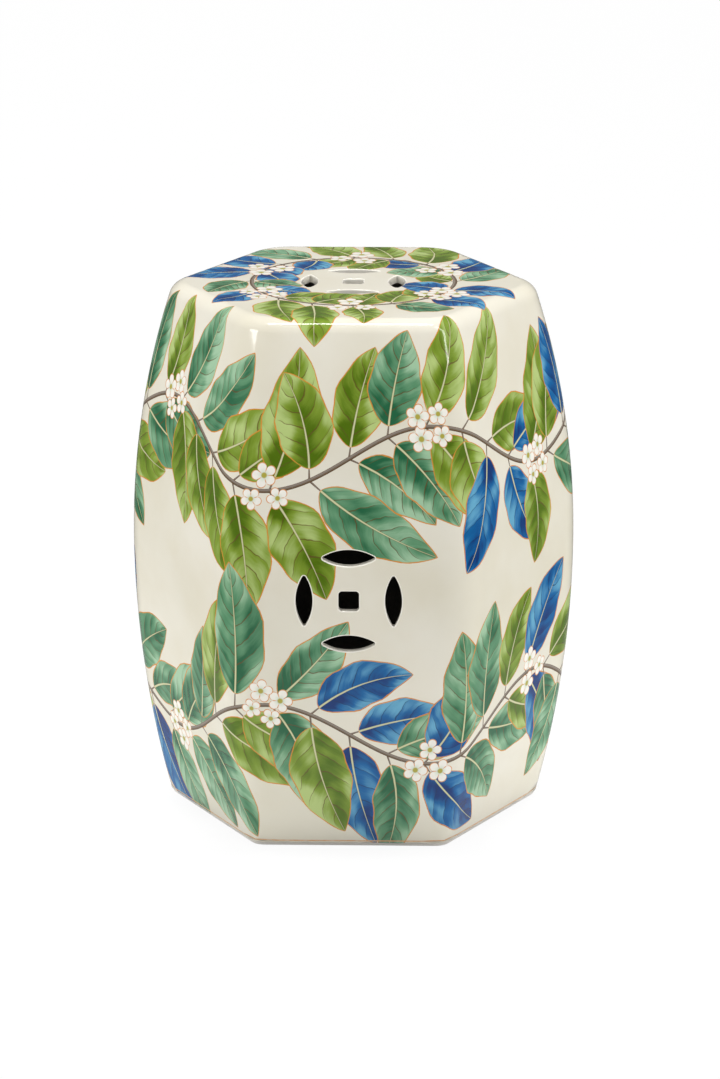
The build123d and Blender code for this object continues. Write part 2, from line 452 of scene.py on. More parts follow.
class Leaf:
    """A painted leaf on a bowed midrib.

    Its brush values are the share along the midrib, the way off it and half the leaf's width there.
    """

    BASE_POWER = 0.66  # how slowly the leaf widens from its base
    TIP_POWER = 0.88  # and from its tip
    STEPS = 22
    RIPPLE = 0.045  # height of the edge's ripples, as a share of the half width
    RIPPLES = 3.0
    RIPPLE_SHIFT = 0.19  # turns by which the ripples of either side are shifted
    LEAST_HALF = 0.05  # half width that the brush gives at the very ends, in millimetres

    def __init__(self, base, heading, length, width, bend, finish, chance):
        self.base, self.heading, self.length, self.finish = base, heading, length, finish
        self.half = width / 2
        self.radius = length / bend
        self.seed = chance.random()
        self.trait = (self.seed, chance.uniform(-1, 1), length)
        base_power, tip_power = self.BASE_POWER, self.TIP_POWER
        widest = base_power / (base_power + tip_power)
        self.peak = widest**base_power * (1 - widest) ** tip_power
        self.middle = self.spot(0.5, 0.0)

    def half_width(self, share, side):
        """Half the leaf's width at a share of its length, on its left (1) or right (-1)."""
        share = clamp(share)
        swell = share**self.BASE_POWER * (1 - share) ** self.TIP_POWER / self.peak
        ripple = math.sin(math.tau * (self.RIPPLES * share + self.seed + self.RIPPLE_SHIFT * side))
        return self.half * swell * (1 + self.RIPPLE * ripple)

    def spot(self, share, off):
        """Chart point at a share along the midrib and a way off it."""
        turn = share * self.length / self.radius
        reach = self.radius - off
        x, y = turned_about((reach * math.sin(turn), self.radius - reach * math.cos(turn)), self.heading)
        return self.base[0] + x, self.base[1] + y

    def outline(self):
        """Points round the leaf, from its base up the right side and back."""
        shares = [0.5 - 0.5 * math.cos(math.pi * step / self.STEPS) for step in range(self.STEPS + 1)]
        right = [self.spot(share, -self.half_width(share, -1)) for share in shares]
        left = [self.spot(share, self.half_width(share, 1)) for share in shares[1:-1]]
        return right + left[::-1]

    def brush(self, x, y):
        """Brush values at a chart point."""
        x, y = turned_about((x - self.base[0], y - self.base[1]), -self.heading)
        way = math.copysign(1.0, self.radius)
        off = self.radius - way * math.hypot(x, self.radius - y)
        share = math.atan2(way * x, way * (self.radius - y)) * self.radius / self.length
        return share, off, max(self.half_width(share, math.copysign(1.0, off)), self.LEAST_HALF)


class Stroke:
    """A painted stroke along a path, for vines, stalks and lines.

    Its brush values are the way along the path, the way off it and half the stroke's width there.
    """

    def __init__(self, path, start_width, stop_width, finish, seed):
        self.path, self.finish = path, finish
        last = len(path) - 1
        growth = stop_width - start_width
        self.halves = [(start_width + growth * step / last) / 2 for step in range(len(path))]
        self.trait = (seed, 0.0, 0.0)
        self.middle = path[len(path) // 2]

    def outline(self):
        """Points up the right of the path and back down its left."""
        right, left = [], []
        last = len(self.path) - 1
        for index, (spot, half) in enumerate(zip(self.path, self.halves)):
            before, after = self.path[max(index - 1, 0)], self.path[min(index + 1, last)]
            dx, dy = after[0] - before[0], after[1] - before[1]
            length = math.hypot(dx, dy)
            aside = (dy / length, -dx / length)
            right.append(moved(spot, aside, half))
            left.append(moved(spot, aside, -half))
        return right + left[::-1]

    def brush(self, x, y):
        """Brush values at a chart point."""
        best = (math.inf, 0.0, 0.0, 0.0)
        way = 0.0
        for start, stop, half in zip(self.path, self.path[1:], self.halves):
            dx, dy = stop[0] - start[0], stop[1] - start[1]
            length = math.hypot(dx, dy)
            part, distance = nearest_part(start, stop, (x, y))
            if distance < best[0]:
                off = ((y - start[1]) * dx - (x - start[0]) * dy) / length
                best = (distance, way + part * length, off, half)
            way += length
        return best[1:]


class Blossom:
    """A five-petalled blossom. Its brush values are its own plane coordinates and its radius."""

    PETALS = 5
    STEPS = 60
    NOTCH = 0.52  # reach between two petals, as a share of the radius
    PETAL_POWER = 0.55  # the lower, the rounder the petals

    def __init__(self, middle, radius, turn, finish, seed):
        self.middle, self.radius, self.turn, self.finish = middle, radius, turn, finish
        self.trait = (seed, 0.0, radius)

    def outline(self):
        """Points round the petals."""
        points = []
        for step in range(self.STEPS):
            angle = math.tau * step / self.STEPS
            swell = abs(math.cos(self.PETALS * angle / 2)) ** self.PETAL_POWER
            reach = self.radius * (self.NOTCH + (1 - self.NOTCH) * swell)
            x, y = turned_about((reach, 0), angle + self.turn)
            points.append((self.middle[0] + x, self.middle[1] + y))
        return points

    def brush(self, x, y):
        """Brush values at a chart point."""
        x, y = turned_about((x - self.middle[0], y - self.middle[1]), -self.turn)
        return x, y, self.radius


class Painting:
    """The painted scroll: what is on the walls' chart and on the seat's, in the order of the strokes."""

    FINISHES = ("leaf_green", "leaf_teal", "leaf_blue")
    FINISH_ODDS = (0.46, 0.30, 0.24)
    KEEP_FINISH = 0.35  # chance that a leaf takes the finish of the one before it
    STALK = 0.10  # share of a leaf's length that is bare stalk
    STALK_TAPER = 0.7
    BENDS = (0.25, 0.75)  # least and greatest turn of a midrib, in radians
    SPREADS = (0.75, 1.2)  # least and greatest angle between a leaf and its vine
    LENGTHS = (0.8, 1.18)  # of the shortest and the longest leaf, for a middling one of one
    WIDTHS = (0.88, 1.12)  # and of the narrowest and the widest
    STEADY_WIDTH, GROWING_WIDTH = 0.55, 0.45  # shares of a leaf's width that stay and that grow with it
    INNER_LENGTH = 0.72  # of the leaves inside the seat's vine, for those outside of one
    CLUSTER = (3, 4)  # fewest and most blossoms in a cluster
    CLUSTER_REACH = 1.25  # from its middle to a blossom's, in radii of a middling blossom
    BLOSSOM_RADII = (0.85, 1.15)
    VINE_STROKES = 24  # that a vine is painted in
    PATH_STEP = 5.0
    LOOK_AHEAD = 0.02  # share of a leaf step over which the vine's heading is taken
    LINE_STEPS = 8
    LINE_LIFT = 1.1  # run from the lower edge to the middle of the foot's line, in widths of the line

    def __init__(self, surface, sizes):
        self.surface, self.sizes = surface, sizes
        self.chance = random.Random(sizes.seed)
        self.finish = self.FINISHES[0]
        self.on_walls, self.on_seat = [], []
        self.wall_vine(sizes.upper_vine / MM, 0.0)
        self.wall_vine(sizes.lower_vine / MM, math.pi)
        self.foot_line()
        self.seat_vine()

    def next_finish(self):
        """The finish of the next leaf."""
        if self.chance.random() > self.KEEP_FINISH:
            self.finish = self.chance.choices(self.FINISHES, self.FINISH_ODDS)[0]
        return self.finish

    def leaf(self, strokes, node, heading, length):
        """Adds a leaf and its stalk, growing from a node of a vine."""
        chance, sizes = self.chance, self.sizes
        bend = chance.choice((-1, 1)) * chance.uniform(*self.BENDS)
        stalk = self.STALK * length
        base = moved(node, (math.cos(heading), math.sin(heading)), stalk)
        growth = self.STEADY_WIDTH + self.GROWING_WIDTH * length / (sizes.leaf_length / MM)
        width = sizes.leaf_width / MM * growth * chance.uniform(*self.WIDTHS)
        stalk_width = sizes.vine_width / MM / 2
        seed = chance.random()
        strokes.append(Leaf(base, heading, length - stalk, width, bend, self.next_finish(), chance))
        strokes.append(Stroke([node, base], stalk_width, stalk_width * self.STALK_TAPER, "twig", seed))

    def blossoms(self, strokes, middle):
        """Adds a cluster of blossoms."""
        chance = self.chance
        radius = self.sizes.blossom_radius / MM
        count = chance.randint(*self.CLUSTER)
        turn = chance.random() * math.tau
        for number in range(count):
            angle = turn + number * math.tau / count
            spot = moved(middle, (math.cos(angle), math.sin(angle)), self.CLUSTER_REACH * radius)
            own_radius = radius * chance.uniform(*self.BLOSSOM_RADII)
            own_turn = chance.random() * math.tau
            strokes.append(Blossom(spot, own_radius, own_turn, "blossom", chance.random()))

    def vine(self, strokes, path_at, length, leaf_length):
        """Adds leaves in pairs along a path, then the vine over their stalks."""
        chance = self.chance
        count = round(length / (self.sizes.leaf_step / MM))
        for number in range(count):
            here, ahead = path_at(number / count), path_at((number + self.LOOK_AHEAD) / count)
            heading = math.atan2(ahead[1] - here[1], ahead[0] - here[0])
            for side in (1, -1):
                spread = side * chance.uniform(*self.SPREADS)
                own_length = leaf_length(side) * chance.uniform(*self.LENGTHS)
                self.leaf(strokes, here, heading + spread, own_length)
        width = self.sizes.vine_width / MM
        steps = max(2, round(length / self.VINE_STROKES / self.PATH_STEP))
        for number in range(self.VINE_STROKES):
            path = [path_at((number + part / steps) / self.VINE_STROKES) for part in range(steps + 1)]
            strokes.append(Stroke(path, width, width, "twig", chance.random()))

    def wall_vine(self, middle, phase):
        """A vine that swings up and down all round the walls, with blossoms at its crests and hollows."""
        sizes, girth = self.sizes, self.surface.girth
        swing = sizes.vine_swing / MM

        def path_at(part):
            return girth * part, middle + swing * math.sin(math.tau * sizes.waves * part + phase)

        self.vine(self.on_walls, path_at, girth, lambda side: sizes.leaf_length / MM)
        turns = 2 * sizes.waves
        for number in range(turns):
            self.blossoms(self.on_walls, path_at((number + 0.5) / turns))

    def seat_vine(self):
        """A vine in a ring round the coin of the seat."""
        radius = self.sizes.seat_vine / MM

        def path_at(part):
            return turned_about((radius, 0), math.tau * part)

        def leaf_length(side):
            return self.sizes.seat_leaf_length / MM * (self.INNER_LENGTH if side > 0 else 1.0)

        self.vine(self.on_seat, path_at, math.tau * radius, leaf_length)
        for number in range(len(SIDES)):
            self.blossoms(self.on_seat, path_at((number + 0.5) / len(SIDES)))

    def foot_line(self):
        """The line round the foot, one stroke for each wall."""
        width = self.sizes.line_width / MM
        side = self.surface.side
        for sector in range(len(SIDES)):
            places = [sector - 0.5 + part / self.LINE_STEPS for part in range(self.LINE_STEPS + 1)]
            path = [(side * place, self.LINE_LIFT * width) for place in places]
            self.on_walls.append(Stroke(path, width, width, "gold_line", self.chance.random()))

    def wall_spot(self, sector, x, y):
        """Point of a wall's chart that a point of the seat's chart runs on to."""
        own_sector, share, run = self.surface.seat_share(x, y)
        half_turn = len(SIDES) // 2
        sectors_on = (own_sector - sector + half_turn) % len(SIDES) - half_turn
        return (sectors_on + share / 2) * self.surface.side, run

    def for_wall(self, sector):
        """Strokes that touch a wall, each with its outline in the wall's chart and a way to its own chart."""
        surface = self.surface
        half = surface.side / 2
        wall_shift = sector * surface.side
        found = []
        for stroke in self.on_walls:
            turns = round((stroke.middle[0] - wall_shift) / surface.girth)
            shift = wall_shift + turns * surface.girth
            outline = [(x - shift, y) for x, y in stroke.outline()]
            if any(-half < x < half and surface.lowest_run < y < surface.joint_run for x, y in outline):
                found.append((stroke, outline, lambda x, y, shift=shift: (x + shift, y)))
        for stroke in self.on_seat:
            outline = [self.wall_spot(sector, *spot) for spot in stroke.outline()]
            if any(-half < x < half and y < surface.joint_run for x, y in outline):
                found.append((stroke, outline, lambda x, y: surface.seat_spot(x + wall_shift, y)))
        return found

    def for_seat(self):
        """Strokes that touch the seat, each with its outline in that chart and a way to its own chart."""
        surface = self.surface
        found = []
        for stroke in self.on_walls:
            outline = stroke.outline()
            if max(y for x, y in outline) > surface.joint_run:

                def to_wall(x, y, middle=stroke.middle[0]):
                    sector, share, run = surface.seat_share(x, y)
                    girth = (sector + share / 2) * surface.side
                    return girth + surface.girth * round((middle - girth) / surface.girth), run

                found.append((stroke, [surface.seat_spot(x, y) for x, y in outline], to_wall))
        return found + [(stroke, stroke.outline(), lambda x, y: (x, y)) for stroke in self.on_seat]


def add_object(name, data):
    """A new object in the scene."""
    thing = bpy.data.objects.new(name, data)
    bpy.context.scene.collection.objects.link(thing)
    return thing


class Slab:
    """Collects the faces of one closed clay piece, with finishes, and normals and brush values at corners."""

    UNPAINTED = (0.0, 0.0, 0.0)

    def __init__(self):
        self.points, self.faces, self.finishes = [], [], []
        self.normals, self.brush, self.traits = [], [], []

    def point(self, spot):
        """Adds a point in millimetres and gives its number."""
        self.points.append(spot * MM)
        return len(self.points) - 1

    def face(self, corners, finish, normals=None, brush=None, trait=UNPAINTED):
        """Adds a face. Without normals it is shaded flat."""
        if normals is None:
            a, b, c = (self.points[corner] for corner in corners[:3])
            normals = [(b - a).cross(c - a).normalized()] * len(corners)
        self.faces.append(corners)
        self.finishes.append(finish)
        self.normals += normals
        self.brush += brush or [self.UNPAINTED] * len(corners)
        self.traits += [trait] * len(corners)

    def skirt(self, loop, ring, finish, loop_normals=None, ring_normals=None):
        """Adds faces from a loop to a ring of as many points, on the side that the loop leaves open."""
        count = len(loop)
        for index in range(count):
            after = (index + 1) % count
            corners = [loop[after], loop[index], ring[index], ring[after]]
            normals = None
            if loop_normals:
                normals = [loop_normals[after], loop_normals[index], ring_normals[index], ring_normals[after]]
            self.face(corners, finish, normals)

    def to_object(self, name, finishes):
        """Makes the mesh object."""
        mesh = bpy.data.meshes.new(name)
        mesh.from_pydata(self.points, [], self.faces)
        names = sorted(set(self.finishes))
        for finish in names:
            mesh.materials.append(finishes[finish])
        mesh.polygons.foreach_set("material_index", [names.index(finish) for finish in self.finishes])
        for label, values in (("brush", self.brush), ("trait", self.traits)):
            attribute = mesh.attributes.new(label, "FLOAT_VECTOR", "CORNER")
            attribute.data.foreach_set("vector", [number for value in values for number in value])
        mesh.normals_split_custom_set(self.normals)
        return add_object(name, mesh)


def chained(loops):
    """The points of several loops in one list, and each loop as the numbers of its points."""
    spots, numbers = [], []
    for loop in loops:
        numbers.append(list(range(len(spots), len(spots) + len(loop))))
        spots += loop
    return spots, numbers


def triangles_inside(spots, loops, merge_distance):
    """Triangles inside loops of points: flat points, triangles, sources of the points, loops round each."""
    inside_only = 1
    flat, _, triangles, sources, _, origins = delaunay_2d_cdt(
        [Vector(spot) for spot in spots], [], loops, inside_only, merge_distance, True
    )
    return flat, triangles, sources, origins


def border_loops(triangles):
    """Loops of points along the open borders of a sheet of triangles."""
    edges = {(a, b) for t in triangles for a, b in zip(t, t[1:] + t[:1])}
    onward = {a: b for a, b in edges if (b, a) not in edges}
    loops = []
    while onward:
        start, after = onward.popitem()
        loop = [start]
        while after != start:
            loop.append(after)
            after = onward.pop(after)
        loops.append(loop)
    return loops


class GlazedPiece:
    """A wall or the seat: a painted skin, the lips of its openings and its inner side, in one closed mesh."""

    LIP_STEPS = 4
    LINING_DEPTH = 6.5  # glazed part of an opening's side; the inner edge below it is pared away
    PARED_EDGE = 3.0
    SKIN_MERGE, INNER_MERGE = 1e-4, 1e-5  # distances within which points become one
    BRIM_TOLERANCE = 0.1

    def __init__(self, surface, openings):
        self.surface, self.openings = surface, openings
        self.slab = Slab()

    def inlaid(self, outline, strokes, points):
        """The skin's flat points, its triangles, and the number of the top stroke on each, or -1 for none."""
        brims = [[self.to_chart(*spot) for spot in opening.brim] for opening in self.openings]
        spots, loops = chained([outline, *brims, *(patch for _, patch, _ in strokes)])
        flat, triangles, _, origins = triangles_inside(spots + points, loops, self.SKIN_MERGE)
        first_patch = 1 + len(brims)
        open_loops = set(range(1, first_patch))
        kept, tops = [], []
        for triangle, owners in zip(triangles, origins):
            if 0 in owners and not open_loops.intersection(owners):
                kept.append(triangle)
                tops.append(max(max(owners) - first_patch, -1))
        return flat, kept, tops

    def skin(self, outline, strokes, points, place):
        """Adds the painted skin. Gives its border loops as lists of (chart point, point number, normal)."""
        flat, triangles, tops = self.inlaid(outline, strokes, points)
        numbers, normals = {}, {}
        for index in sorted({corner for triangle in triangles for corner in triangle}):
            spot, normals[index] = place(*flat[index])
            numbers[index] = self.slab.point(spot)
        for triangle, top in zip(triangles, tops):
            corners = [numbers[index] for index in triangle]
            corner_normals = [normals[index] for index in triangle]
            if top < 0:
                self.slab.face(corners, "ivory_ground", corner_normals)
                continue
            stroke, _, home = strokes[top]
            brush = [stroke.brush(*home(*flat[index])) for index in triangle]
            self.slab.face(corners, stroke.finish, corner_normals, brush, stroke.trait)
        return [
            [(tuple(flat[index]), numbers[index], normals[index]) for index in loop]
            for loop in border_loops(triangles)
        ]

    def lip(self, loop, opening):
        """Rounds the glaze over an opening's edge and lines it. Gives its inner edge (numbers, points)."""
        feet = [opening.foot_of(self.from_chart(*chart))[1:] for chart, _, _ in loop]
        numbers = [number for _, number, _ in loop]
        skin_normals = [normal for _, _, normal in loop]
        side_normals = [-self.plane_direction(n) for _, n in feet]
        normals = skin_normals
        for step in range(1, self.LIP_STEPS + 1):
            angle = QUARTER * step / self.LIP_STEPS
            aside, deep = opening.lip * (1 - math.sin(angle)), opening.lip * (1 - math.cos(angle))
            ring = [self.slab.point(self.plane_point(moved(p, n, aside), deep)) for p, n in feet]
            ring_normals = [
                (outer * math.cos(angle) + inner * math.sin(angle)).normalized()
                for outer, inner in zip(skin_normals, side_normals)
            ]
            self.slab.skirt(numbers, ring, "white_lip", normals, ring_normals)
            numbers, normals = ring, ring_normals
        lining = [self.slab.point(self.plane_point(p, self.LINING_DEPTH)) for p, _ in feet]
        self.slab.skirt(numbers, lining, "white_lip", normals, side_normals)
        # the pared edge under the glazed lining is clay painted dark as shade
        spots = [self.inner_point(moved(p, n, self.PARED_EDGE)) for p, n in feet]
        ring = [self.slab.point(spot) for spot in spots]
        self.slab.skirt(lining, ring, "inner_clay")
        return ring, spots

    def lips(self, loops):
        """Lines every opening. Gives the outer loop, and the inner edges as (numbers, points)."""
        edges, outer = [], None
        for loop in loops:
            spot = self.from_chart(*loop[0][0])
            nearest = min(self.openings, key=lambda opening: opening.foot_of(spot)[0], default=None)
            if nearest and nearest.foot_of(spot)[0] < self.BRIM_TOLERANCE:
                edges.append(self.lip(loop, nearest))
            else:
                outer = loop
        return outer, edges

    def inner_side(self, outer, edges, points):
        """Closes the inside between the outer ring and the inner edges of the openings."""
        rings = [outer, *edges]
        numbers = [number for ring, _ in rings for number in ring]
        spots, loops = chained([[self.flatten(spot) for spot in ring_spots] for _, ring_spots in rings])
        loops[1:] = [loop[::-1] for loop in loops[1:]]
        flat, triangles, sources, origins = triangles_inside(spots + points, loops, self.INNER_MERGE)
        known = {}
        for index, source in enumerate(sources):
            on_ring = [number for number in source if number < len(numbers)]
            known[index] = numbers[on_ring[0]] if on_ring else None
        for triangle, owners in zip(triangles, origins):
            if owners != [0]:
                continue
            for index in triangle:
                if known[index] is None:
                    known[index] = self.slab.point(self.unflatten(*flat[index]))
            # the inner side is clay painted dark as the shade inside the stool
            self.slab.face([known[index] for index in reversed(triangle)], "inner_clay")


class GlazedWall(GlazedPiece):
    """A wall slab, in a chart with its middle at nought."""

    ROW_STEP = 9.0
    COLUMN_STEP = 12.0
    CORNER_COLUMNS = 8
    EDGE_ROWS = 4
    INNER_STEP = 24.0
    INNER_COLUMNS = 5
    COIN_CLEARANCE = 72.0  # inner points keep out of a square that reaches this far round a coin's middle

    def __init__(self, surface, sector, openings, coin_height):
        super().__init__(surface, openings)
        self.sector = sector
        self.coin_height = coin_height
        self.out, self.right = compass(wall_facing(sector))

    def share(self, x):
        """Share of the half side at a chart point."""
        return clamp(2 * x / self.surface.side, -1.0)

    def to_chart(self, x, y):
        """Chart point of a point on the coin's plane."""
        run = self.surface.run_at(y + self.coin_height)
        return x / self.surface.half_length(run) * self.surface.side / 2, run

    def from_chart(self, x, run):
        """Point on the coin's plane of a chart point."""
        if not 0 <= run <= self.surface.shoulder_run:
            return x, run
        across = self.share(x) * self.surface.half_length(run)
        return across, self.surface.wall_height(run) - self.coin_height

    def plane_direction(self, direction):
        """Direction in space of a direction on the coin's plane."""
        return self.right * direction[0] + UP * direction[1]

    def plane_point(self, point, deep):
        """Point under the skin at a point of the coin's plane."""
        height = point[1] + self.coin_height
        return self.out * (self.surface.section(height)[0] - deep) + self.right * point[0] + UP * height

    def inner_point(self, point):
        """Point on the inner side at a point of the coin's plane."""
        height = point[1] + self.coin_height
        reach = self.surface.section(height, self.surface.thickness)[0]
        return self.out * reach + self.right * point[0] + UP * height

    def flatten(self, spot):
        """Way across and height of a point on the inner side."""
        return spot.dot(self.right), spot.z

    def unflatten(self, x, height):
        """Point on the inner side at a way across and a height."""
        return self.inner_point((x, height - self.coin_height))

    def rows(self):
        """Runs of the skin's rows of points, close together at the rounded lower edge."""
        surface = self.surface
        count = round(surface.joint_run / self.ROW_STEP)
        edge = [surface.lowest_run * (1 - step / self.EDGE_ROWS) for step in range(self.EDGE_ROWS)]
        return edge + [surface.joint_run * step / count for step in range(count + 1)]

    def columns(self):
        """Chart places of the skin's columns of points, close together at the rounded corners."""
        half = self.surface.side / 2
        corner = self.surface.corner * HALF_SECTOR
        flat = half - corner
        count = round(2 * flat / self.COLUMN_STEP)
        middle = [flat * (2 * step / count - 1) for step in range(count + 1)]
        bend = [flat + corner * step / self.CORNER_COLUMNS for step in range(1, self.CORNER_COLUMNS + 1)]
        return [-x for x in reversed(bend)] + middle + bend

    def inner_points(self):
        """Points inside the border of the inner side, clear of a coin."""
        surface = self.surface
        rise = surface.joint - surface.base
        half = surface.section(surface.base, surface.thickness)[0] * HALF_SIDE - self.INNER_STEP / 2
        gaps = self.INNER_COLUMNS - 1
        across = [half * (2 * step / gaps - 1) for step in range(self.INNER_COLUMNS)]
        count = round(rise / self.INNER_STEP)
        heights = [surface.base + rise * step / count for step in range(1, count)]
        return [
            (x, height)
            for height in heights
            for x in across
            if not self.openings or max(abs(x), abs(height - self.coin_height)) > self.COIN_CLEARANCE
        ]

    def make(self, strokes):
        """Builds the wall's slab."""
        surface = self.surface
        rows, columns = self.rows(), self.columns()
        outline = [(x, rows[0]) for x in columns]
        outline += [(columns[-1], y) for y in rows[1:]]
        outline += [(x, rows[-1]) for x in reversed(columns[:-1])]
        outline += [(columns[0], y) for y in reversed(rows[1:-1])]
        points = [(x, y) for y in rows[1:-1] for x in columns[1:-1]]
        loops = self.skin(outline, strokes, points, lambda x, y: surface.place(self.sector, self.share(x), y))
        outer, edges = self.lips(loops)
        spots = []
        for (x, _), number, _ in outer:
            height = self.slab.points[number].z / MM
            spots.append(surface.inner(self.sector, self.share(x), height))
        # the wall's edges and inside take the clay painted dark as shade
        ring = [self.slab.point(spot) for spot in spots]
        self.slab.skirt([number for _, number, _ in outer], ring, "inner_clay")
        self.inner_side((ring, spots), edges, self.inner_points())
        return self.slab


class GlazedSeat(GlazedPiece):
    """The seat slab with its shoulder, in a chart seen from above."""

    SHOULDER_ROWS = 9
    RIM_ROWS = 2
    FLAT_STEP = 12.0
    SIDE_POINTS = 14
    CORNER_POINTS = 7

    def to_chart(self, x, y):
        """The seat's chart is the plane of the coin."""
        return x, y

    from_chart = to_chart

    def plane_direction(self, direction):
        """Direction in space of a direction on the coin's plane."""
        return Vector((direction[0], direction[1], 0))

    def plane_point(self, point, deep):
        """Point under the skin at a point of the coin's plane."""
        return Vector((point[0], point[1], self.surface.top - deep))

    def inner_point(self, point):
        """Point on the ceiling at a point of the coin's plane."""
        return Vector((point[0], point[1], self.surface.ceiling))

    def flatten(self, spot):
        """Plan of a point on the ceiling."""
        return spot.x, spot.y

    def unflatten(self, x, y):
        """Point on the ceiling over a point of the plan."""
        return self.inner_point((x, y))

    def ring(self, run):
        """Chart points round the seat at a run, closer together at the corners."""
        surface = self.surface
        bend = surface.corner * HALF_SECTOR / (surface.side / 2)
        shares = [-1 + bend * step / self.CORNER_POINTS for step in range(self.CORNER_POINTS)]
        shares += [(1 - bend) * (2 * step / self.SIDE_POINTS - 1) for step in range(self.SIDE_POINTS + 1)]
        shares += [1 - bend + bend * step / self.CORNER_POINTS for step in range(1, self.CORNER_POINTS)]
        return [
            surface.seat_spot((sector + share / 2) * surface.side, run)
            for sector in range(len(SIDES))
            for share in shares
        ]

    def inner_points(self):
        """Points of the skin inside its rim: rings over the shoulder and a grid on the flat."""
        surface = self.surface
        rim = surface.shoulder_run - surface.joint_run
        shoulder = surface.flat_run - surface.shoulder_run
        rows = self.SHOULDER_ROWS
        runs = [surface.joint_run + rim * step / self.RIM_ROWS for step in range(1, self.RIM_ROWS)]
        runs += [surface.shoulder_run + shoulder * step / rows for step in range(rows + 1)]
        steps = round(surface.flat_apothem / self.FLAT_STEP)
        grid = [surface.flat_apothem * step / steps for step in range(-steps, steps + 1)]
        clear = surface.flat_run + self.FLAT_STEP / 2
        points = [spot for run in runs for spot in self.ring(run)]
        return points + [(x, y) for x in grid for y in grid if surface.seat_share(x, y)[2] > clear]

    def make(self, strokes):
        """Builds the seat's slab."""
        surface = self.surface
        rim = self.ring(surface.joint_run)
        loops = self.skin(
            rim, strokes, self.inner_points(), lambda x, y: surface.place(*surface.seat_share(x, y))
        )
        outer, edges = self.lips(loops)
        numbers = [number for _, number, _ in outer]
        # the seat's rim and ceiling take the clay painted dark as shade
        for height in (surface.joint, surface.ceiling):
            spots = []
            for (x, y), _, _ in outer:
                sector, share, _ = surface.seat_share(x, y)
                spots.append(surface.inner(sector, share, height))
            ring = [self.slab.point(spot) for spot in spots]
            self.slab.skirt(numbers, ring, "inner_clay")
            numbers = ring
        self.inner_side((ring, spots), edges, [])
        return self.slab


class Signal:
    """A number that varies over a surface. Reckoning with it adds Math nodes."""

    def __init__(self, bench, socket):
        self.bench, self.socket = bench, socket

    def math(self, operation, *others):
        """A Math node of this and other numbers."""
        return self.bench.math(operation, self, *others)

    def __add__(self, other):
        return self.math("ADD", other)

    def __sub__(self, other):
        return self.math("SUBTRACT", other)

    def __rsub__(self, other):
        return self.bench.math("SUBTRACT", other, self)

    def __mul__(self, other):
        return self.math("MULTIPLY", other)

    def __truediv__(self, other):
        return self.math("DIVIDE", other)

    def __pow__(self, other):
        return self.math("POWER", other)

    def __abs__(self):
        return self.math("ABSOLUTE")

    def ramp(self, start, stop, low=0.0, high=1.0):
        """Eases from low to high as this goes from start to stop."""
        values = {"Value": self, "From Min": start, "From Max": stop, "To Min": low, "To Max": high}
        node = self.bench.tree.nodes.new("ShaderNodeMapRange")
        node.interpolation_type = "SMOOTHSTEP"
        for name, value in values.items():
            self.bench.feed(value, node.inputs[name])
        return Signal(self.bench, node.outputs["Result"])


class Bench:
    """Short calls that put nodes in a tree."""

    MIX_INPUTS = (0, 6, 7)  # a Mix node's factor and its two colours
    MIX_RESULT = 2

    def __init__(self, tree):
        self.tree = tree

    def feed(self, value, socket):
        """Links a signal or a socket to a socket, or sets the socket's own value."""
        if isinstance(value, Signal):
            value = value.socket
        if isinstance(value, bpy.types.NodeSocket):
            self.tree.links.new(value, socket)
        else:
            socket.default_value = value

    def node(self, kind, settings=None, **inputs):
        """A node with its settings, and its inputs by name, where _ stands for a blank."""
        node = self.tree.nodes.new(kind)
        for name, value in (settings or {}).items():
            setattr(node, name, value)
        for name, value in inputs.items():
            self.feed(value, node.inputs[name.replace("_", " ")])
        return node

    def math(self, operation, *values):
        """A Math node of numbers and signals."""
        node = self.node("ShaderNodeMath", {"operation": operation})
        for value, socket in zip(values, node.inputs):
            self.feed(value, socket)
        return Signal(self, node.outputs[0])

    def split(self, vector):
        """The three numbers of a vector."""
        node = self.node("ShaderNodeSeparateXYZ", Vector=vector)
        return [Signal(self, output) for output in node.outputs]

    def join(self, x, y, z):
        """A vector of three numbers."""
        return self.node("ShaderNodeCombineXYZ", X=x, Y=y, Z=z).outputs[0]

    def corner_values(self, name):
        """A vector kept at the corners of the mesh."""
        return self.node("ShaderNodeAttribute", {"attribute_name": name}).outputs["Vector"]

    def place(self):
        """The place on the object, in metres."""
        return self.node("ShaderNodeTexCoord").outputs["Object"]

    def noise(self, vector, scale, detail=2.0, roughness=0.5):
        """Smooth noise from nought to one."""
        node = self.node("ShaderNodeTexNoise", Vector=vector, Scale=scale, Detail=detail, Roughness=roughness)
        return Signal(self, node.outputs["Fac"])

    def mix(self, factor, first, second, blend="MIX"):
        """A colour between two colours."""
        node = self.node("ShaderNodeMix", {"data_type": "RGBA", "blend_type": blend})
        for value, index in zip((factor, first, second), self.MIX_INPUTS):
            self.feed(value, node.inputs[index])
        return node.outputs[self.MIX_RESULT]

    def group(self, tree, **inputs):
        """A node group, with its inputs by name, where _ stands for a blank."""
        return self.node("ShaderNodeGroup", {"node_tree": tree}, **inputs).outputs


def new_group(name, inputs, outputs):
    """A shader node group. Gives the tree, its bench, its inputs and the sockets of its output node."""
    tree = bpy.data.node_groups.new(name, "ShaderNodeTree")
    for in_out, sockets in (("INPUT", inputs), ("OUTPUT", outputs)):
        for label, kind in sockets.items():
            tree.interface.new_socket(name=label, in_out=in_out, socket_type=f"NodeSocket{kind}")
    bench = Bench(tree)
    return tree, bench, bench.node("NodeGroupInput").outputs, bench.node("NodeGroupOutput").inputs


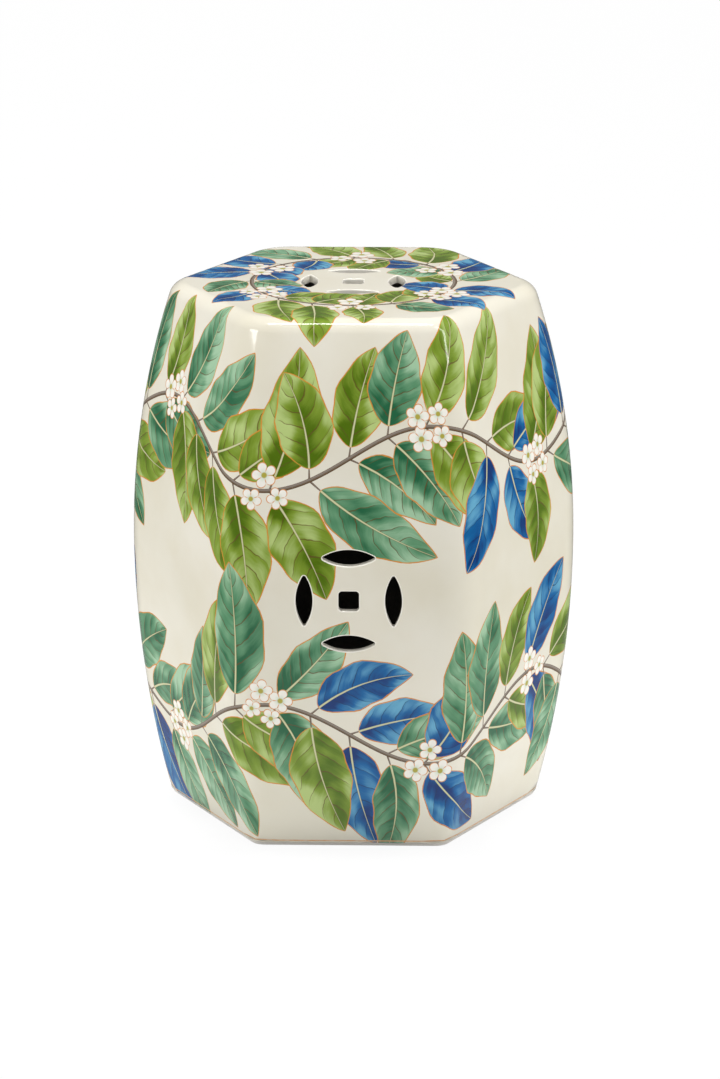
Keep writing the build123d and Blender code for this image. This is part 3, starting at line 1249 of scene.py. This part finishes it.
class LeafHand:
    """How a leaf is painted: lengths in millimetres, shares of the leaf, and ramps.

    A ramp is four numbers: as a value goes from the first to the second, the result eases from the third to
    the fourth.
    """

    SWAY_LENGTH = 14.0  # over which the lines drift
    PRESS_LENGTH = 6.0  # over which they swell and thin
    SEED_STEPS = {"sway": 71.0, "press": 19.0, "pools": 37.0, "strokes": 53.0}  # these set the leaves apart
    CLIMB, CURL = 0.12, 0.11  # shares by which a side vein climbs towards the tip, straight and curling up
    STAGGER = 0.24  # how far the veins of either side are shifted, in veins
    VEIN_SWAY = 0.5
    VEIN_HALF = (0.1, 1.0, 0.42, 0.16)  # half a vein's width, from the midrib out
    VEIN_PRESS = 0.3
    VEIN_EDGE = (-0.1, 0.45, 1.0, 0.0)
    VEIN_STOP = (0.70, 0.93, 1.0, 0.0)  # where a vein ends short of the leaf's edge
    VEIN_STOP_SWAY = 0.7
    FIRST_VEIN = (0.04, 0.12, 0.0, 1.0)
    LAST_VEIN = (0.86, 0.95, 1.0, 0.0)
    VEIN_STRENGTH = 0.76
    POOLS_ALONG = 1.7
    POOL_LENGTH = 34.0  # across the leaf
    STROKES_ALONG, STROKES_ACROSS = 2.2, 0.9
    POOL_TONE = (0.30, 0.70, -0.30, 0.30)
    STROKE_TONE = (0.25, 0.75, -0.07, 0.07)
    LOBE_TONE = (0.05, 0.75, -0.09, 0.10)  # from one vein to the next
    LOBE_START = (0.05, 0.40, 0.0, 1.0)  # from the midrib out
    LOBE_STOP = (0.70, 1.0, 1.0, 0.3)
    EDGE_TONE = (0.05, 0.95, -0.10, 0.20)  # from the midrib out
    SIDE_TONE = 0.10
    BASE_TONE = (0.0, 0.40, -0.22, 0.02)  # from the base up
    MIDDLE_TONE = 0.46
    DEEP_TO_MID = (0.05, 0.55, 0.0, 1.0)
    MID_TO_PALE = (0.45, 0.98, 0.0, 1.0)
    RIB_HALF = (0.0, 1.0, 0.85, 0.20)  # half the midrib's width, from the base to the tip
    RIB_SHADOW = (0.10, 0.60, 0.50, 0.0)
    RIB_EDGE = (-0.25, 0.2, 0.92, 0.0)
    OUTLINE_PRESS = 1.1
    OUTLINE_EDGE = (0.72, 1.30, 0.95, 0.0)


def leaf_brushwork():
    """Node group that washes, veins and outlines a leaf."""
    hand = LeafHand
    paints = dict.fromkeys(("Deep", "Mid", "Pale", "Vein", "Rib", "Outline"), "Color")
    tree, bench, given, out = new_group(
        "leaf brushwork",
        {"Brush": "Vector", "Trait": "Vector", **paints, "Side Veins": "Float"},
        {"Colour": "Color"},
    )
    share, off, half = bench.split(given["Brush"])
    seed, tone, length = bench.split(given["Trait"])
    veins = Signal(bench, given["Side Veins"])
    off_rib = abs(off)
    across = off_rib / half
    side = off.math("SIGN")

    def unsteadiness(name, reach, detail):
        spot = bench.join(share * length / reach, off / reach, seed * hand.SEED_STEPS[name])
        return bench.noise(spot, scale=1.0, detail=detail) - 0.5

    # side veins leave the midrib and sweep towards the tip, drawn by an unsteady hand
    sway = unsteadiness("sway", hand.SWAY_LENGTH, 2.0)
    press = unsteadiness("press", hand.PRESS_LENGTH, 1.0)
    climb = across * hand.CLIMB + across * across * hand.CURL
    order = (share - climb) * veins + side * hand.STAGGER + seed + sway * hand.VEIN_SWAY
    cell = order.math("FRACT")
    from_vein = (0.5 - abs(cell - 0.5)) * length / veins
    vein_half = across.ramp(*hand.VEIN_HALF) + press * hand.VEIN_PRESS
    vein = (from_vein - vein_half).ramp(*hand.VEIN_EDGE)
    vein = vein * (across + sway * hand.VEIN_STOP_SWAY).ramp(*hand.VEIN_STOP)
    vein = vein * share.ramp(*hand.FIRST_VEIN) * share.ramp(*hand.LAST_VEIN)
    # the wash has broad pools of colour, faint strokes along the veins, and lobes that glow between the veins
    pool_spot = bench.join(
        share * hand.POOLS_ALONG, off / hand.POOL_LENGTH, seed * hand.SEED_STEPS["pools"]
    )
    stroke_spot = bench.join(
        order * hand.STROKES_ALONG, across * hand.STROKES_ACROSS, seed * hand.SEED_STEPS["strokes"]
    )
    pools = bench.noise(pool_spot, scale=1.5, detail=1.0)
    strokes = bench.noise(stroke_spot, scale=1.6, detail=4.0, roughness=0.6)
    lift = pools.ramp(*hand.POOL_TONE) + strokes.ramp(*hand.STROKE_TONE)
    lobes = cell.ramp(*hand.LOBE_TONE) * across.ramp(*hand.LOBE_START) * across.ramp(*hand.LOBE_STOP)
    light = across.ramp(*hand.EDGE_TONE) + tone * side * hand.SIDE_TONE + share.ramp(*hand.BASE_TONE)
    wash = lift + lobes + light + hand.MIDDLE_TONE
    colour = bench.mix(wash.ramp(*hand.DEEP_TO_MID), given["Deep"], given["Mid"])
    colour = bench.mix(wash.ramp(*hand.MID_TO_PALE), colour, given["Pale"])
    # dark fine lines, the pale midrib between its dark edges, and the outline
    colour = bench.mix(vein * hand.VEIN_STRENGTH, colour, given["Vein"])
    from_rib = off_rib - share.ramp(*hand.RIB_HALF)
    colour = bench.mix(from_rib.ramp(*hand.RIB_SHADOW), colour, given["Vein"])
    colour = bench.mix(from_rib.ramp(*hand.RIB_EDGE), colour, given["Rib"])
    outline = (half - off_rib + press * hand.OUTLINE_PRESS).ramp(*hand.OUTLINE_EDGE)
    bench.feed(bench.mix(outline, colour, given["Outline"]), out["Colour"])
    return tree


def fired_glaze():
    """Node group for what firing does to a glazed colour: slight mottling, iron specks and an uneven skin."""
    mottle_tint = (0.90, 0.86, 0.76, 1.0)
    speck_tint = (0.20, 0.13, 0.07, 1.0)
    speck_edge = (0.016, 0.034, 0.30, 0.0)
    gloss = (0.2, 0.8, 0.07, 0.13)  # ramp from the noise to the roughness
    fine_height, speck_depth = 0.02, 0.3
    tree, bench, given, out = new_group(
        "fired glaze",
        {"Colour": "Color", "Mottling": "Float"},
        {"Colour": "Color", "Roughness": "Float", "Height": "Float"},
    )
    place = bench.place()
    mottle = bench.noise(place, scale=16.0, detail=3.0, roughness=0.6).ramp(0.3, 0.7)
    colour = bench.mix(mottle * given["Mottling"], given["Colour"], mottle_tint, "MULTIPLY")
    specks = bench.node("ShaderNodeTexVoronoi", Vector=place, Scale=105.0).outputs["Distance"]
    speck = Signal(bench, specks).ramp(*speck_edge) * bench.noise(place, scale=31.0).ramp(0.55, 0.66)
    bench.feed(bench.mix(speck, colour, speck_tint), out["Colour"])
    fine = bench.noise(place, scale=420.0)
    bench.feed(fine.ramp(*gloss), out["Roughness"])
    waves = bench.noise(place, scale=34.0, detail=1.0)
    bench.feed(waves + fine * fine_height - speck * speck_depth, out["Height"])
    return tree


def fired_clay():
    """Node group for unglazed fired clay: fine grog, faint streaks and a dry surface."""
    grog_share, streak_share = 0.35, 0.25
    dryness = (0.2, 0.8, 0.72, 0.9)  # ramp from the streaks to the roughness
    tree, bench, given, out = new_group(
        "fired clay",
        {"Colour": "Color", "Dark": "Color", "Grain": "Float"},
        {"Colour": "Color", "Roughness": "Float", "Height": "Float"},
    )
    place = bench.place()
    grog = bench.noise(place, scale=given["Grain"], detail=4.0, roughness=0.65)
    streaks = bench.noise(place, scale=22.0, detail=3.0)
    tone = grog.ramp(0.35, 0.75) * grog_share + streaks.ramp(0.35, 0.7) * streak_share
    bench.feed(bench.mix(tone, given["Colour"], given["Dark"]), out["Colour"])
    bench.feed(streaks.ramp(*dryness), out["Roughness"])
    bench.feed(grog, out["Height"])
    return tree


def new_material(name):
    """A material, its bench and its Principled BSDF."""
    material = bpy.data.materials.new(name)
    material.use_nodes = True
    return material, Bench(material.node_tree), material.node_tree.nodes["Principled BSDF"]


def coat(bench, shader, fired, strength, distance):
    """Feeds a fired group's colour, roughness and height to a shader."""
    bump = bench.node("ShaderNodeBump", Strength=strength, Distance=distance, Height=fired["Height"])
    bench.feed(fired["Colour"], shader.inputs["Base Color"])
    bench.feed(fired["Roughness"], shader.inputs["Roughness"])
    bench.feed(bump.outputs["Normal"], shader.inputs["Normal"])


def glazed_material(name, glaze, draw, mottling):
    """A glazed material. draw puts its own nodes on a bench and gives its painted colour."""
    _, bench, shader = new_material(name)
    fired = bench.group(glaze, Colour=draw(bench), Mottling=mottling)
    coat(bench, shader, fired, strength=0.25, distance=0.6 * MM)
    shader.inputs["IOR"].default_value = 1.5
    shader.inputs["Coat Weight"].default_value = 0.25
    shader.inputs["Coat Roughness"].default_value = 0.03


def clay_material(name, clay, colour, dark, grain):
    """An unglazed material."""
    _, bench, shader = new_material(name)
    fired = bench.group(clay, Colour=colour, Dark=dark, Grain=grain)
    coat(bench, shader, fired, strength=0.4, distance=0.8 * MM)


class Finishes:
    """Makes the finishes from the stool's colours. A method with a bench gives a painted colour on it."""

    BLOSSOM_OUTLINE = (0.60, 1.10, 1.0, 0.0)  # ramp from the edge in, in millimetres
    TWIG_EDGE = (0.25, 0.6, 0.8, 0.0)  # and of a twig's dark edge

    def __init__(self, colours):
        self.colours = colours
        self.glaze, self.clay, self.brushwork = fired_glaze(), fired_clay(), leaf_brushwork()

    def ground(self, bench):
        """Ivory with faint pale clouds."""
        cloud = bench.noise(bench.place(), scale=7.0)
        return bench.mix(cloud.ramp(0.35, 0.7, 0.0, 0.35), self.colours.ivory, self.colours.blossom_white)

    def lip(self, bench):
        """White that lets a little ivory through: partly the glaze's own paler edge, partly painted light on
        the shaded linings.
        """
        thin = bench.noise(bench.place(), scale=60.0)
        return bench.mix(thin.ramp(0.4, 0.7, 0.0, 0.3), self.colours.lip_white, self.colours.ivory)

    def leaf(self, tint, vein, side_veins):
        """Draws a leaf in the washes of a tint."""
        colours = self.colours

        def draw(bench):
            inputs = {wash: getattr(colours, f"{tint}_{wash.lower()}") for wash in ("Deep", "Mid", "Pale")}
            inputs |= {"Vein": vein, "Rib": colours.rib_cream, "Outline": colours.outline_gold}
            inputs |= {"Brush": bench.corner_values("brush"), "Trait": bench.corner_values("trait")}
            return bench.group(self.brushwork, Side_Veins=side_veins, **inputs)["Colour"]

        return draw

    def blossom(self, bench):
        """White petals with a pale shadow round the heart, and gold lines round and between them."""
        colours = self.colours
        x, y, radius = bench.split(bench.corner_values("brush"))
        reach = (x * x + y * y) ** 0.5
        share = reach / radius
        wave = abs((y.math("ARCTAN2", x) * (Blossom.PETALS / 2)).math("COSINE"))
        limit = (wave**Blossom.PETAL_POWER * (1 - Blossom.NOTCH) + Blossom.NOTCH) * radius
        between = wave.ramp(0.10, 0.26, 1.0, 0.0) * share.ramp(0.1, 0.4)
        colour = bench.mix(share.ramp(0.15, 0.6, 0.38, 0.0), colours.blossom_white, colours.teal_pale)
        lines = (limit - reach).ramp(*self.BLOSSOM_OUTLINE).math("MAXIMUM", between)
        colour = bench.mix(lines * 0.9, colour, colours.outline_gold)
        return bench.mix(share.ramp(0.16, 0.26, 1.0, 0.0), colour, colours.blossom_heart)

    def twig(self, bench):
        """Brown bark, paler on one side, with a dark edge."""
        colours = self.colours
        along, off, half = bench.split(bench.corner_values("brush"))
        bark = bench.noise(bench.join(along * 0.22, off * 0.9, 0.0), scale=1.3, detail=3.0)
        colour = bench.mix(bark.ramp(0.3, 0.7), colours.twig_brown, colours.vein_brown)
        colour = bench.mix((off / half).ramp(-0.9, 0.7, 0.0, 0.24), colour, colours.bare_clay)
        return bench.mix((half - abs(off)).ramp(*self.TWIG_EDGE), colour, colours.vein_brown)

    def gold_line(self, bench):
        """Gold that is worn thin here and there."""
        along, off, _ = bench.split(bench.corner_values("brush"))
        thin = bench.noise(bench.join(along * 0.11, off * 0.5, 0.0), scale=1.0, detail=3.0)
        return bench.mix(thin.ramp(0.35, 0.75, 0.2, 0.65), self.colours.outline_gold, self.colours.ivory)

    def make(self):
        """Makes every finish."""
        colours = self.colours
        glazed = {
            "ivory_ground": (self.ground, 0.30),
            "white_lip": (self.lip, 0.05),
            "leaf_green": (self.leaf("green", colours.vein_brown, 6.0), 0.12),
            "leaf_teal": (self.leaf("teal", colours.vein_brown, 7.0), 0.12),
            "leaf_blue": (self.leaf("blue", colours.vein_navy, 6.0), 0.08),
            "blossom": (self.blossom, 0.10),
            "twig": (self.twig, 0.05),
            "gold_line": (self.gold_line, 0.10),
        }
        for name, (draw, mottling) in glazed.items():
            glazed_material(name, self.glaze, draw, mottling)
        clay_material("bare_clay", self.clay, colours.bare_clay, colours.bare_clay_dark, grain=300.0)
        # the inner clay's dark colour is painted shade; its grog and streaks are the clay's own
        clay_material("inner_clay", self.clay, colours.inner_clay, colours.painted_shade_clay_dark, grain=220.0)


def all_finishes():
    """Finishes by name, made the first time that they are asked for."""
    if "ivory_ground" not in bpy.data.materials:
        Finishes(bpy.context.scene.stool_colours).make()
    return bpy.data.materials


def seat_in_frame(piece, node):
    """Ties a new piece to the frame in place of a node."""
    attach(piece, "root")
    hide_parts(node)


class STOOL_OT_glazed_walls(bpy.types.Operator):
    """Makes the six glazed wall slabs, the front and the back pierced"""

    bl_idname = "stool.glazed_walls"
    bl_label = "Glazed Walls"

    def execute(self, context):
        scene = context.scene
        surface = Surface(scene.stool_form)
        painting = Painting(surface, scene.stool_painting)
        coin_height = scene.stool_form.coin_height / MM
        for sector, side in enumerate(SIDES):
            openings = Piercing.coin(scene.stool_form) if side in PIERCED else []
            slab = GlazedWall(surface, sector, openings, coin_height).make(painting.for_wall(sector))
            piece = slab.to_object(f"glazed_wall_{side}", all_finishes())
            seat_in_frame(piece, f"wall_{side}")
        return {"FINISHED"}


class STOOL_OT_glazed_seat(bpy.types.Operator):
    """Makes the glazed seat slab with its rounded shoulder and its coin"""

    bl_idname = "stool.glazed_seat"
    bl_label = "Glazed Seat"

    def execute(self, context):
        scene = context.scene
        surface = Surface(scene.stool_form)
        painting = Painting(surface, scene.stool_painting)
        slab = GlazedSeat(surface, Piercing.coin(scene.stool_form)).make(painting.for_seat())
        piece = slab.to_object("glazed_seat", all_finishes())
        seat_in_frame(piece, "seat")
        return {"FINISHED"}


class STOOL_OT_bare_clay(bpy.types.Operator):
    """Gives the foot ring its bare clay, and the inner coils bare clay painted dark as shade"""

    bl_idname = "stool.bare_clay"
    bl_label = "Bare Clay"

    def execute(self, context):
        for node in BARE_NODES:
            # the coils inside take the clay painted dark as shade
            finish = "bare_clay" if node == "foot_ring" else "inner_clay"
            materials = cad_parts[node].data.materials
            materials.clear()
            materials.append(all_finishes()[finish])
        return {"FINISHED"}


Softbox = namedtuple("Softbox", "place target width height power")


def grey(level):
    """Linear grey of a level."""
    return (level, level, level, 1.0)


def aimed(name, data, place, target):
    """A light or a camera at a place, turned to a target."""
    thing = add_object(name, data)
    thing.location = place
    thing.rotation_euler = (Vector(target) - Vector(place)).to_track_quat("-Z", "Y").to_euler()
    return thing


class STOOL_OT_stage(bpy.types.Operator):
    """Makes the floor, the studio light and the camera"""

    bl_idname = "stool.stage"
    bl_label = "Stage"

    CAMERA_PLACE = (0.0922, -3.9374, 1.4015)
    CAMERA_TARGET = (0.0056, 0.0001, 0.2290)
    CAMERA_LENS = 159.5
    SENSOR_HEIGHT = 36.0
    VIEW_DEPTH = 100.0
    SOFTBOXES = {
        "overhead_strip": Softbox((0.0, -0.24, 2.4), (0.0, -0.13, 0.45), width=1.5, height=0.24, power=26.0),
        "right_strip": Softbox((1.35, -0.9, 1.64), (0.0, 0.0, 1.14), width=0.12, height=1.72, power=6.5),
        "left_box": Softbox((-1.66, -0.84, 1.06), (0.0, 0.0, 0.45), width=0.62, height=0.34, power=5.0),
    }
    FLOOR_HALF = 14.0
    FLOOR_GREYS = (0.93, 0.95)
    FLOOR_ROUGHNESS = 0.9
    FRONT_GREY, FRONT_SHADE = 0.25, 0.15  # grey that shades the floor in front, and how much of it
    PLAIN_WHITE = 0.92  # share of the floor that the camera sees as plain white
    # ramps of the floor's glow: by the angle from straight ahead, by the way from the middle, and by x
    FLOOR_FRONT = (0.5, 1.2, 1.0, 0.0)
    UNDER_STOOL = (0.14, 0.18, 0.0, 1.0)
    GLOW_FADE = (0.3, 0.9, 0.9, 0.35)
    GLOW_BESIDE = (-0.3, 0.3, 0.74, 0.64)
    GLOW_IN_FRONT = 0.16
    # ramps of the floor's reflection in the glaze, by the way from the middle
    MIRROR_FRONT = (0.25, 1.1, 0.60, 0.05)
    MIRROR_BESIDE = (0.3, 0.75, 0.45, 0.13)
    # ramps of the studio's light: by the angle from straight ahead, towards the back, and from left to right
    STUDIO_ROUND = (0.55, 1.4, 0.30, 1.0)
    STUDIO_BACK = (0.2, 0.9, 1.0, 0.5)
    STUDIO_ACROSS = (-0.8, 0.8, 0.98, 1.06)
    STUDIO_MIRRORED = 0.25  # share of the studio's light that the glaze reflects

    def floor(self):
        """A white floor that glows on the stool from close by, and that the glaze reflects faintly."""
        half = self.FLOOR_HALF
        corners = [(-half, -half, 0), (half, -half, 0), (half, half, 0), (-half, half, 0)]
        mesh = bpy.data.meshes.new("floor")
        mesh.from_pydata(corners, [], [(0, 1, 2, 3)])
        material, bench, shader = new_material("floor_white")
        mesh.materials.append(material)
        place = bench.place()
        x, y, _ = bench.split(place)
        way_off = (x * x + y * y) ** 0.5
        in_front = abs(x).math("ARCTAN2", y * -1.0).ramp(*self.FLOOR_FRONT)
        beside = 1.0 - in_front
        tone = bench.noise(place, scale=3.0).ramp(0.3, 0.7)
        colour = bench.mix(tone, *(grey(level) for level in self.FLOOR_GREYS))
        colour = bench.mix(in_front * self.FRONT_SHADE, colour, grey(self.FRONT_GREY))
        glow = beside * x.ramp(*self.GLOW_BESIDE) + in_front * self.GLOW_IN_FRONT
        glow = glow * (way_off.ramp(*self.UNDER_STOOL) * way_off.ramp(*self.GLOW_FADE))
        bench.feed(colour, shader.inputs["Base Color"])
        bench.feed(glow, shader.inputs["Emission Strength"])
        shader.inputs["Emission Color"].default_value = grey(1.0)
        shader.inputs["Roughness"].default_value = self.FLOOR_ROUGHNESS
        shader.inputs["Specular IOR Level"].default_value = 0.0
        rays = bench.node("ShaderNodeLightPath").outputs
        to_camera = Signal(bench, rays["Is Camera Ray"]) * self.PLAIN_WHITE
        mirrored = way_off.ramp(*self.MIRROR_FRONT) * in_front + beside * way_off.ramp(*self.MIRROR_BESIDE)
        surface = shader.outputs["BSDF"]
        for share, strength in ((to_camera, 1.0), (rays["Is Glossy Ray"], mirrored)):
            plain = bench.node("ShaderNodeEmission", Strength=strength)
            blend = bench.node("ShaderNodeMixShader", Fac=share)
            bench.feed(surface, blend.inputs[1])
            bench.feed(plain.outputs["Emission"], blend.inputs[2])
            surface = blend.outputs["Shader"]
        bench.feed(surface, material.node_tree.nodes["Material Output"].inputs["Surface"])
        add_object("floor", mesh)

    def softbox(self, name, box):
        """A soft rectangular light turned to a target."""
        light = bpy.data.lights.new(name, "AREA")
        light.shape = "RECTANGLE"
        light.size, light.size_y, light.energy = box.width, box.height, box.power
        aimed(name, light, box.place, box.target)

    def studio(self, scene):
        """White light all round, dimmer in front of the stool and behind it, and faint in reflections."""
        world = bpy.data.worlds.new("studio")
        world.use_nodes = True
        bench = Bench(world.node_tree)
        x, y, _ = bench.split(bench.node("ShaderNodeTexCoord").outputs["Generated"])
        from_front = abs(x).math("ARCTAN2", y * -1.0)
        light = from_front.ramp(*self.STUDIO_ROUND) * y.ramp(*self.STUDIO_BACK) * x.ramp(*self.STUDIO_ACROSS)
        mirrored = Signal(bench, bench.node("ShaderNodeLightPath").outputs["Is Glossy Ray"])
        light = light * mirrored.ramp(0.0, 1.0, 1.0, self.STUDIO_MIRRORED)
        background = world.node_tree.nodes["Background"]
        background.inputs["Color"].default_value = grey(1.0)
        bench.feed(light, background.inputs["Strength"])
        scene.world = world

    def camera(self, scene):
        """A long lens at the photograph's viewing angle."""
        data = bpy.data.cameras.new("camera")
        data.sensor_fit = "VERTICAL"
        data.sensor_height, data.lens, data.clip_end = self.SENSOR_HEIGHT, self.CAMERA_LENS, self.VIEW_DEPTH
        scene.camera = aimed("camera", data, self.CAMERA_PLACE, self.CAMERA_TARGET)

    def execute(self, context):
        self.floor()
        for name, box in self.SOFTBOXES.items():
            self.softbox(name, box)
        self.studio(context.scene)
        context.scene.view_settings.view_transform = "Standard"
        self.camera(context.scene)
        return {"FINISHED"}


class STOOL_PT_stool(bpy.types.Panel):
    """Lists the stool's pieces and their sizes and colours"""

    bl_idname = "STOOL_PT_stool"
    bl_label = "Garden Stool"
    bl_space_type = "VIEW_3D"
    bl_region_type = "UI"
    bl_category = "Stool"

    def draw(self, context):
        for operator in OPERATORS:
            self.layout.operator(operator.bl_idname)
        for name, group in GROUPS.items():
            box = self.layout.box()
            for setting in group.__annotations__:
                box.prop(getattr(context.scene, name), setting)


GROUPS = {"stool_form": StoolForm, "stool_painting": StoolPainting, "stool_colours": StoolColours}
OPERATORS = (STOOL_OT_glazed_walls, STOOL_OT_glazed_seat, STOOL_OT_bare_clay, STOOL_OT_stage)
CLASSES = (*GROUPS.values(), *OPERATORS, STOOL_PT_stool)


def register():
    """Registers the classes and puts their settings on the scene."""
    for cls in CLASSES:
        bpy.utils.register_class(cls)
    for name, group in GROUPS.items():
        setattr(bpy.types.Scene, name, bpy.props.PointerProperty(type=group))


def unregister():
    """Takes the settings off the scene and unregisters the classes."""
    for name in GROUPS:
        delattr(bpy.types.Scene, name)
    for cls in reversed(CLASSES):
        bpy.utils.unregister_class(cls)


def main():
    """Builds the pieces and the stage."""
    register()
    bpy.ops.stool.glazed_walls()
    bpy.ops.stool.glazed_seat()
    bpy.ops.stool.bare_clay()
    bpy.ops.stool.stage()


if __name__ == "__main__":
    main()
